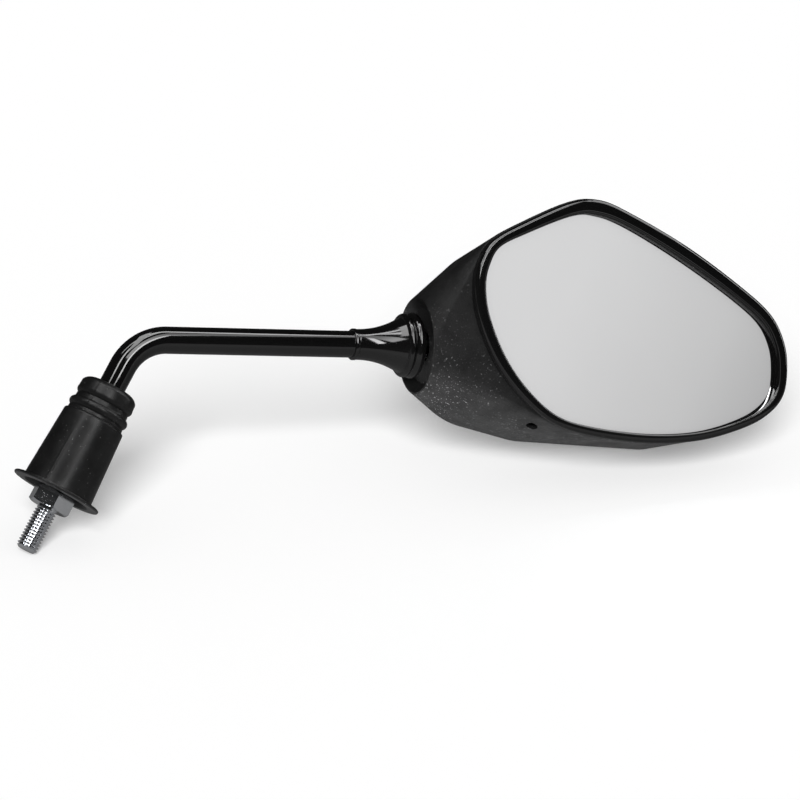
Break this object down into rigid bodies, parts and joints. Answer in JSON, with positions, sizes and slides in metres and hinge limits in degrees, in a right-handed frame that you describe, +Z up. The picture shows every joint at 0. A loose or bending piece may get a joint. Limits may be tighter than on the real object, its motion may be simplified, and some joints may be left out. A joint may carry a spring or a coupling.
{
  "type": "motorcycle mirror",
  "caption": "Handlebar rear-view mirror: bent gloss tube stalk with a threaded stud and lock nut, rubber boot, flared collar, ball joint and a teardrop head with a rimmed glass.",
  "frame": {"origin": "on the stud's axis where the free thread ends under the lock nut", "axes": "-Z along the stud the way it leaves the handlebar's threaded hole, +Z up the leg of the stalk, +X outward to the head, the glass faces -Y"},
  "size_m": [0.311, 0.0527, 0.2765],
  "materials": {
    "gloss_tube": "gloss black",
    "zinc_steel": "bright zinc plated",
    "boot_rubber": "satin black",
    "collar_gloss": "gloss black",
    "joint_nylon": "natural",
    "socket_alloy": "die cast",
    "housing_plastic": "fine textured black",
    "rim_gloss": "gloss black",
    "mirror_silver": "polished",
    "pad_foam": "foam tape",
    "backing_plastic": "plain moulded"
  },
  "bodies": {
    "stalk": {"arm_tube": "gloss_tube", "mount_stud": "zinc_steel", "ball_stud": "zinc_steel", "collar": "collar_gloss"},
    "nut": {"lock_nut": "zinc_steel"},
    "boot": {"rubber_boot": "boot_rubber"},
    "liner": {"seat_liner": "joint_nylon"},
    "cup": {"pressure_cup": "joint_nylon"},
    "head": {"ball_socket": "socket_alloy", "pressure_plate": "zinc_steel", "disc_springs": "zinc_steel", "clamp_screws": "zinc_steel", "socket_screws": "zinc_steel", "housing_shell": "housing_plastic", "bezel": "rim_gloss", "mirror_glass": "mirror_silver", "glass_pad": "pad_foam", "backing_plate": "backing_plastic", "backing_screws": "zinc_steel"}
  },
  "joints": [
    {"name": "nut_turn", "type": "hinge", "parent": "stalk", "child": "nut", "pos_m": [0, 0, 0.0045], "axis": [0, 0, 1], "continuous": true},
    {"name": "boot_slide", "type": "slide", "parent": "stalk", "child": "boot", "axis": [0, 0, 1], "range_m": [0, 0.009]},
    {"name": "head_roll", "type": "hinge", "parent": "stalk", "child": "liner", "pos_m": [0.13809, 0, 0.16073], "axis": [0.8829, 0, 0.4695], "continuous": true},
    {"name": "head_tilt", "type": "hinge", "parent": "liner", "child": "cup", "pos_m": [0.13809, 0, 0.16073], "axis": [0, 1, 0], "range_deg": [-7, 7]},
    {"name": "head_pan", "type": "hinge", "parent": "cup", "child": "head", "pos_m": [0.13809, 0, 0.16073], "axis": [-0.4695, 0, 0.8829], "range_deg": [-7, 7]}
  ]
}
